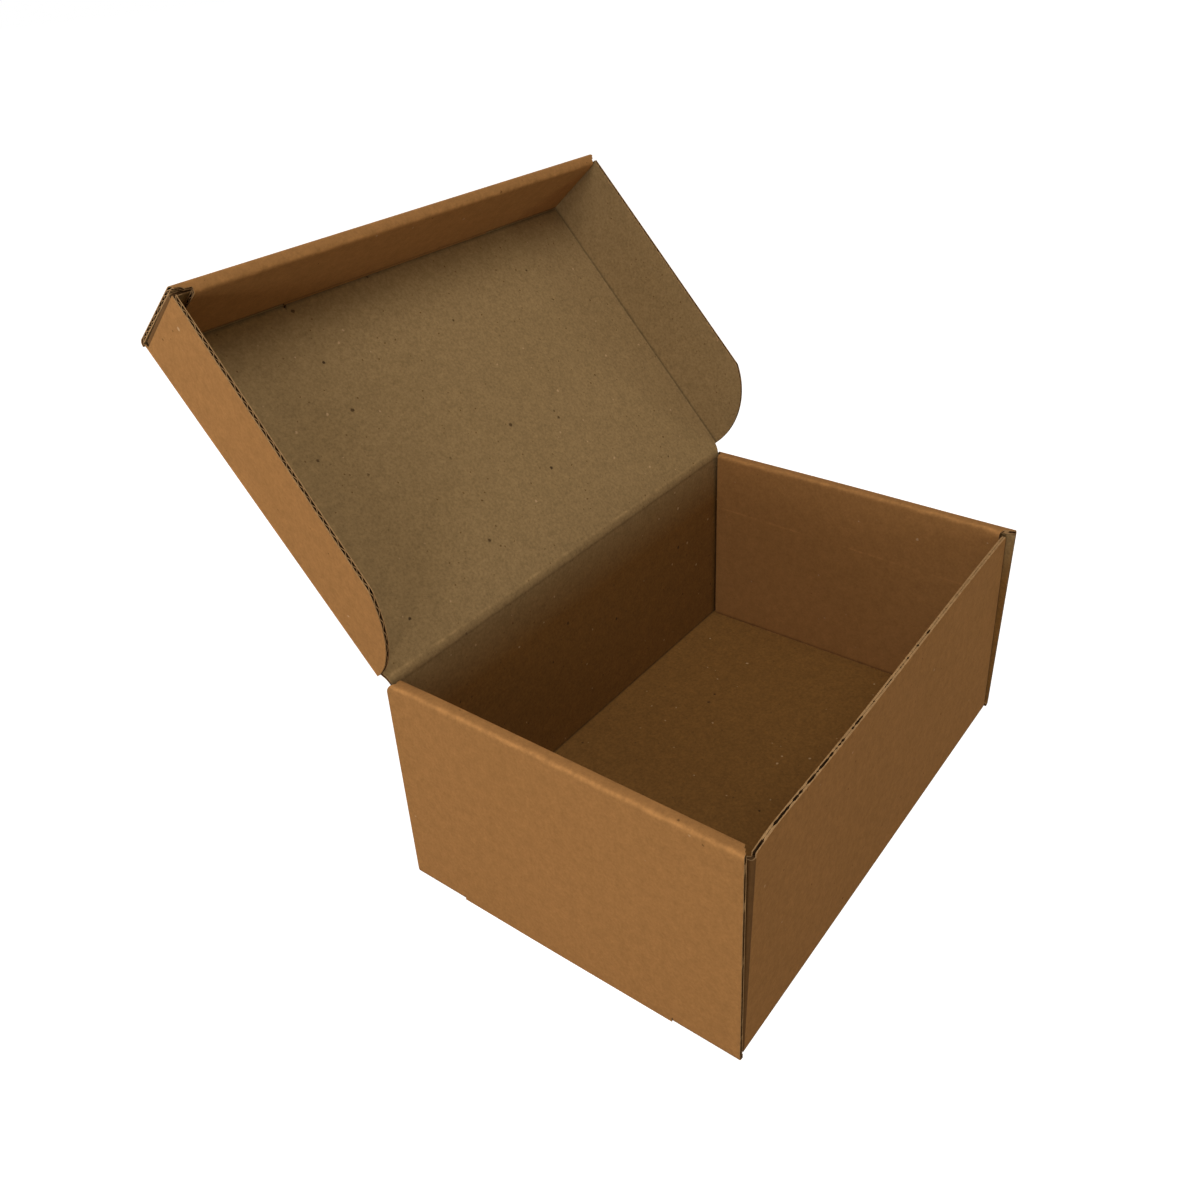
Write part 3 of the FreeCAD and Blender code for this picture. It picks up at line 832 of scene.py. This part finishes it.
# Paper: the noises, how much they change the colour, the flecks, the blots and the relief
CLOUDS = {"Scale": 28.0, "Detail": 3.0, "Roughness": 0.55}
GRAIN = {"Scale": 900.0, "Detail": 3.0, "Roughness": 0.7}
MOTTLE = {"Scale": 260.0, "Detail": 2.0, "Roughness": 0.6}
NOISE_RANGE = (0.3, 0.7)
GRAIN_CHANGE = (-0.2, 0.18)
MOTTLE_TONES = (0.93, 1.07)
FLECK_RAGGED = 0.0011
FLECK_SIZE = 0.3
FLECK_EDGE = 0.12
FLECK_STRENGTH = 0.8
BLOT_RGB = (44, 28, 16)
BLOT_EDGE = (1.7, 1.1)
BLOT_STRENGTH = 0.85
LID_BLOTS = ((10.8, 32.8, 0.7), (-49.0, 104.3, 0.6), (-79.9, 14.6, 0.6))
TRAY_BLOTS = ((42.0, 30.0, BOARD, 0.6), (-8.0, -20.0, BOARD, 0.5), (20.0, WALL_IN_Y, 40.0, 0.6))
PATCH_RANGE = (0.35, 0.65)
WORN_TONES = (0.16, 0.44)
# How much darker each unit of painted shade makes the paper
PAINTED_SHADE_TONE = 0.3
# Height in millimetres below which the inner liner has its full painted shade colour, fading out at the
# tray's top
DEEP_SHADE_Z = 60.0
LINER_ROUGHNESS = 0.78
CUT_ROUGHNESS = 0.9
SPECULAR = 0.12
BUMP_STRENGTH = 0.07
BUMP_DISTANCE = 0.0004


def node(tree, kind, inputs=None, **settings):
    made = tree.nodes.new(kind)
    for name, value in settings.items():
        setattr(made, name, value)
    for name, value in (inputs or {}).items():
        if isinstance(value, bpy.types.NodeSocket):
            tree.links.new(value, made.inputs[name])
        else:
            made.inputs[name].default_value = value
    return made


def reckoned(tree, operation, *values):
    return node(tree, "ShaderNodeMath", dict(enumerate(values)), operation=operation).outputs["Value"]


def vector_math(tree, operation, inputs):
    return node(tree, "ShaderNodeVectorMath", inputs, operation=operation).outputs


def scaled(tree, vector, scale):
    return vector_math(tree, "SCALE", {0: vector, "Scale": scale})["Vector"]


def mixed(tree, share, a, b):
    inputs = {"Factor": share, "A": a, "B": b}
    return node(tree, "ShaderNodeMix", inputs, data_type="RGBA").outputs["Result"]


def mapped(tree, value, source, target=(0.0, 1.0)):
    """A value moved from one range to another, and held inside it."""
    inputs = {"Value": value, "From Min": source[0], "From Max": source[1],
              "To Min": target[0], "To Max": target[1]}
    return node(tree, "ShaderNodeMapRange", inputs).outputs["Result"]


def srgb(r, g, b):
    """A colour given in 0 to 255, as the linear values that a shader takes."""
    linear = [((c / 255 + 0.055) / 1.055) ** 2.4 for c in (r, g, b)]
    return (*linear, 1.0)


def kraft(name, base, cloud, flecks, roughness=LINER_ROUGHNESS, contrast=1.0, deep=None, blots=()):
    """Kraft paper: clouded colour, fine fibre grain, flecks, rubbed light folds, painted shade and a few
    large dark blots.

    flecks are layers, each with its scale, the share of its cells that hold a fleck, and a colour.
    deep is a warmer, darker colour down in the tray: painted shade.
    """
    material = bpy.data.materials.new(name)
    material.use_nodes = True
    tree = material.node_tree
    shader = tree.nodes["Principled BSDF"]
    place = node(tree, "ShaderNodeTexCoord").outputs["Object"]
    clouds, grain, mottle = [node(tree, "ShaderNodeTexNoise", {"Vector": place, **settings}).outputs
                             for settings in (CLOUDS, GRAIN, MOTTLE)]
    grain_tones = [1 + change * contrast for change in GRAIN_CHANGE]
    tone = reckoned(tree, "MULTIPLY", mapped(tree, grain["Fac"], NOISE_RANGE, grain_tones),
                    mapped(tree, mottle["Fac"], NOISE_RANGE, MOTTLE_TONES))
    colour = mixed(tree, clouds["Fac"], base, cloud)
    # Painted shade: the colour turns darker and warmer down in the tray
    if deep:
        height = node(tree, "ShaderNodeSeparateXYZ", {"Vector": place}).outputs["Z"]
        colour = mixed(tree, mapped(tree, height, (DEEP_SHADE_Z * MM, TRAY_H * MM)), deep, colour)
    colour = scaled(tree, colour, tone)

    shift = scaled(tree, grain["Color"], FLECK_RAGGED)
    ragged_place = vector_math(tree, "ADD", {0: place, 1: shift})["Vector"]
    for scale, share, fleck_colour in flecks:
        cells = node(tree, "ShaderNodeTexVoronoi", {"Vector": ragged_place, "Scale": scale,
                                                    "Randomness": 1.0}).outputs
        chance = node(tree, "ShaderNodeSeparateColor", {"Color": cells["Color"]}).outputs["Red"]
        size = mapped(tree, chance, (1 - share, 1.0), (0.0, FLECK_SIZE))
        inside = reckoned(tree, "SUBTRACT", size, cells["Distance"])
        fleck = mapped(tree, inside, (0.0, FLECK_EDGE), (0.0, FLECK_STRENGTH))
        colour = mixed(tree, fleck, colour, fleck_colour)
    for x, y, z, radius in blots:
        away = vector_math(tree, "DISTANCE", {0: place, 1: (x * MM, y * MM, z * MM)})["Value"]
        ragged = reckoned(tree, "MULTIPLY_ADD", grain["Fac"], radius * MM, away)
        edge = [reach * radius * MM for reach in BLOT_EDGE]
        colour = mixed(tree, mapped(tree, ragged, edge, (0.0, BLOT_STRENGTH)), colour, srgb(*BLOT_RGB))

    # crease lightens rubbed folds, and below 0 darkens the paper as painted shade in folds, beside cut
    # edges and on tucked flaps
    crease = node(tree, "ShaderNodeAttribute", attribute_name="crease").outputs["Fac"]
    patches = mapped(tree, mottle["Fac"], PATCH_RANGE, WORN_TONES)
    light = reckoned(tree, "MAXIMUM", crease, 0.0)
    dark = reckoned(tree, "MINIMUM", crease, 0.0)
    painted_shade = reckoned(tree, "MULTIPLY_ADD", dark, PAINTED_SHADE_TONE, 1.0)
    wear_and_shade = reckoned(tree, "MULTIPLY_ADD", light, patches, painted_shade)
    tree.links.new(scaled(tree, colour, wear_and_shade), shader.inputs["Base Color"])
    shader.inputs["Roughness"].default_value = roughness
    shader.inputs["Specular IOR Level"].default_value = SPECULAR
    relief = node(tree, "ShaderNodeBump", {"Strength": BUMP_STRENGTH, "Distance": BUMP_DISTANCE,
                                           "Height": reckoned(tree, "ADD", grain["Fac"], mottle["Fac"])})
    tree.links.new(relief.outputs["Normal"], shader.inputs["Normal"])
    return material


def make_papers():
    dark, brown, pale = srgb(62, 42, 24), srgb(96, 68, 38), srgb(198, 164, 122)
    blots = [(*lid_place(u, v, 0), radius) for u, v, radius in LID_BLOTS] + list(TRAY_BLOTS)
    outer = kraft("kraft_outer_liner", srgb(161, 116, 67), srgb(167, 120, 71),
                  ((420, 0.03, pale), (520, 0.05, brown)), contrast=0.55)
    # The inner liner's deep colour is painted shade down in the tray
    inner = kraft("kraft_inner_liner", srgb(148, 122, 82), srgb(156, 129, 89),
                  ((300, 0.06, dark), (620, 0.16, brown), (420, 0.06, pale)),
                  deep=srgb(130, 92, 46), blots=blots)
    cut = kraft("kraft_cut_edge", srgb(184, 148, 104), srgb(164, 128, 86),
                ((900, 0.3, brown),), CUT_ROUGHNESS)
    medium = kraft("kraft_medium", srgb(92, 66, 38), srgb(80, 56, 32),
                   ((900, 0.2, dark),), CUT_ROUGHNESS)
    return [outer, inner, cut, medium]


# Stage: a white floor and surroundings, and lamps with their place, size, power and colour
WHITE = (1, 1, 1, 1)
FILL_COLOUR = (1.0, 0.74, 0.47, 1.0)
FILL_LEVEL = 0.23
FLOOR_SIZE = 8
FLOOR_GREY = (0.5, 0.5, 0.5, 1)
FLOOR_BOUNCE = (0.36, 0.33, 0.28, 1)
FLOOR_GLOW = 0.955
LAMP_AIM = (0, 0.02, 0.06)
LAMPS = (
    ("window_light", (-0.55, 0.42, 0.34), 0.4, 1.35, (1, 1, 1)),
    ("high_window_light", (-0.95, -0.15, 0.6), 0.4, 2.0, (1, 1, 1)),
    ("low_window_light", (-1.0, -0.38, 0.08), 0.25, 2.1, (1, 1, 1)),
    ("low_front_light", (0.55, -0.6, 0.055), 0.1, 0.45, (0.95, 1.0, 0.85)),
    ("ceiling_light", (-0.2, -0.38, 1.3), 0.9, 5.6, (1.0, 1.03, 1.05)),
)


def new_tree(owner):
    """The empty node tree of a world or a material."""
    owner.use_nodes = True
    owner.node_tree.nodes.clear()
    return owner.node_tree


def set_stage():
    """White floor and surroundings, with soft light from the upper left and the camera's side."""
    scene = bpy.context.scene
    scene.view_settings.view_transform = "Standard"
    scene.world = bpy.data.worlds.new("studio")
    tree = new_tree(scene.world)
    light_path = node(tree, "ShaderNodeLightPath").outputs
    seen = reckoned(tree, "MAXIMUM", light_path["Is Camera Ray"], light_path["Is Glossy Ray"])
    fill = node(tree, "ShaderNodeBackground", {"Color": FILL_COLOUR, "Strength": FILL_LEVEL})
    white = node(tree, "ShaderNodeBackground", {"Color": WHITE, "Strength": 1.0})
    mix = node(tree, "ShaderNodeMixShader", {0: seen, 1: fill.outputs[0], 2: white.outputs[0]})
    node(tree, "ShaderNodeOutputWorld", {"Surface": mix.outputs[0]})

    bpy.ops.mesh.primitive_plane_add(size=FLOOR_SIZE)
    floor = bpy.context.object
    floor.name = "floor"
    paper = bpy.data.materials.new("floor_white")
    tree = new_tree(paper)
    camera_ray = node(tree, "ShaderNodeLightPath").outputs["Is Camera Ray"]
    matt = node(tree, "ShaderNodeBsdfDiffuse", {"Color": FLOOR_GREY})
    bounce = node(tree, "ShaderNodeBsdfDiffuse", {"Color": FLOOR_BOUNCE})
    glow = node(tree, "ShaderNodeEmission", {"Color": WHITE, "Strength": FLOOR_GLOW})
    both = node(tree, "ShaderNodeAddShader", {0: matt.outputs[0], 1: glow.outputs[0]})
    mix = node(tree, "ShaderNodeMixShader", {0: camera_ray, 1: bounce.outputs[0], 2: both.outputs[0]})
    node(tree, "ShaderNodeOutputMaterial", {"Surface": mix.outputs[0]})
    floor.data.materials.append(paper)

    for lamp in LAMPS:
        add_lamp(*lamp)


def add_lamp(name, place, size, power, colour):
    lamp = bpy.data.lights.new(name, "AREA")
    lamp.color = colour
    lamp.shape = "DISK"
    lamp.size = size
    lamp.energy = power
    obj = bpy.data.objects.new(name, lamp)
    bpy.context.scene.collection.objects.link(obj)
    obj.location = place
    aim = Vector(LAMP_AIM) - obj.location
    obj.rotation_euler = aim.to_track_quat("-Z", "Y").to_euler()


# Camera, from the fit to the photo: its turn is an axis times an angle
CAMERA_PLACE = Vector((-277.71, -162.75, 292.06)) * MM
CAMERA_TURN = Vector((1.9113, -0.9839, 0.4983))
CAMERA_LENS = 33.16
CAMERA_SENSOR = 36.0
CAMERA_SHIFT = (0.0080, -0.0340)
CAMERA_NEAR = 0.01


def set_camera():
    camera = bpy.data.cameras.new("camera")
    camera.sensor_width = CAMERA_SENSOR
    camera.lens = CAMERA_LENS
    camera.shift_x, camera.shift_y = CAMERA_SHIFT
    camera.clip_start = CAMERA_NEAR
    obj = bpy.data.objects.new("camera", camera)
    bpy.context.scene.collection.objects.link(obj)
    to_view = Matrix.Rotation(CAMERA_TURN.length, 3, CAMERA_TURN.normalized())
    obj.matrix_world = (to_view.transposed() @ Matrix.Diagonal((1, -1, -1))).to_4x4()
    obj.location = CAMERA_PLACE
    bpy.context.scene.camera = obj


papers = make_papers()
tray = make_tray(papers)
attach(tray, "tray")
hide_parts("tray")
lid = make_lid(papers)
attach(lid, "lid")
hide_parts("lid")
crease = make_hinge_crease(papers)
set_stage()
set_camera()
